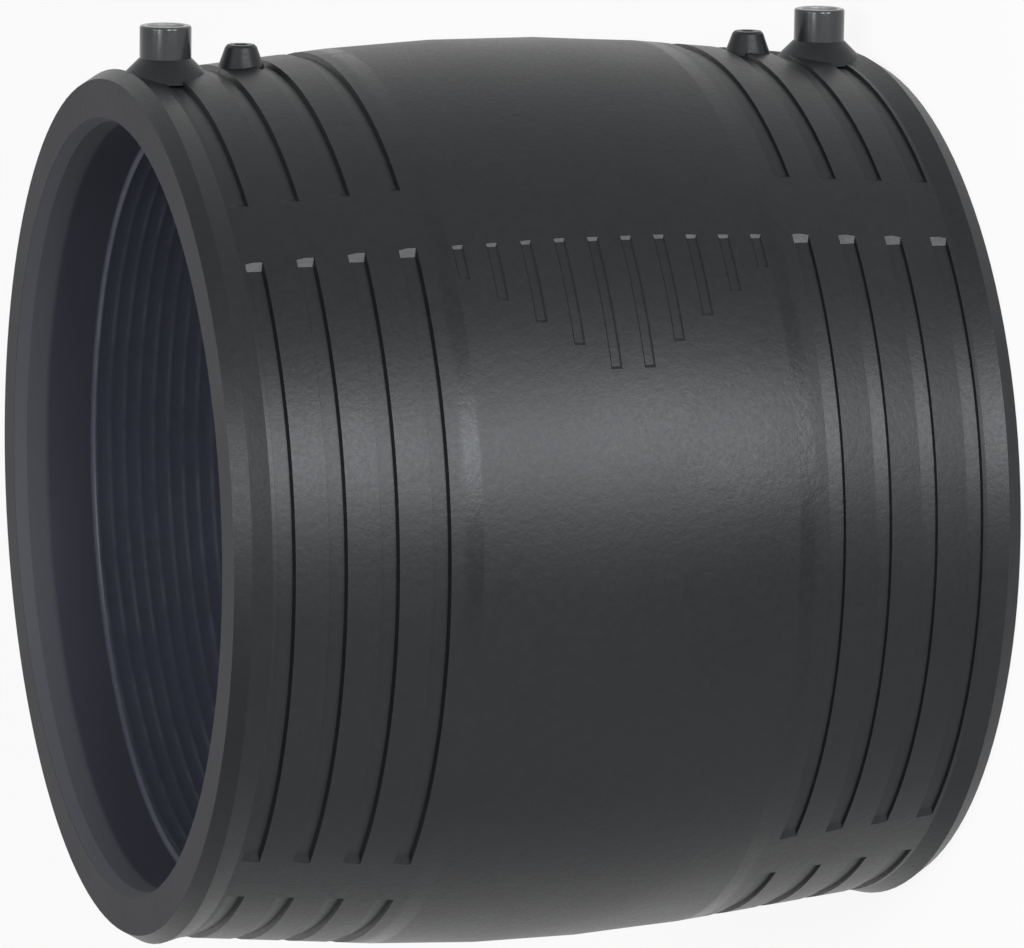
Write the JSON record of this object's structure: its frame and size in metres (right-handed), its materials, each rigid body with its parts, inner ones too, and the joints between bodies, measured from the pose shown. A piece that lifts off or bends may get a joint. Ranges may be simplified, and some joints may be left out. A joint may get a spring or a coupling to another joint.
{
  "type": "electrofusion coupler",
  "caption": "Barrel-shaped polyethylene coupler that is welded onto two butted pipe ends by heating coils in its bore, with shrouded terminals and fusion indicators.",
  "frame": {"origin": "middle of the bore, on its axis", "axes": "+Z along the bore axis, +X towards the terminals and the fusion indicators"},
  "size_m": [0.25, 0.2434, 0.213],
  "materials": {
    "body": "satin moulded polyethylene",
    "coil": "ribbed by the wire wound inside it",
    "shroud": "glossy",
    "indicator": "satin",
    "pin": "satin"
  },
  "bodies": {
    "coupler": {"coupler_body": "body", "heating_coil": "coil", "terminal_shrouds": "shroud", "terminal_pins": "pin"},
    "upper_indicator": {"upper_indicator_pin": "indicator"},
    "lower_indicator": {"lower_indicator_pin": "indicator"}
  },
  "joints": [
    {"name": "upper_indicator_rise", "type": "slide", "parent": "coupler", "child": "upper_indicator", "axis": [1, 0, 0], "range_m": [0, 0.0025]},
    {"name": "lower_indicator_rise", "type": "slide", "parent": "coupler", "child": "lower_indicator", "axis": [1, 0, 0], "range_m": [0, 0.0025]}
  ]
}
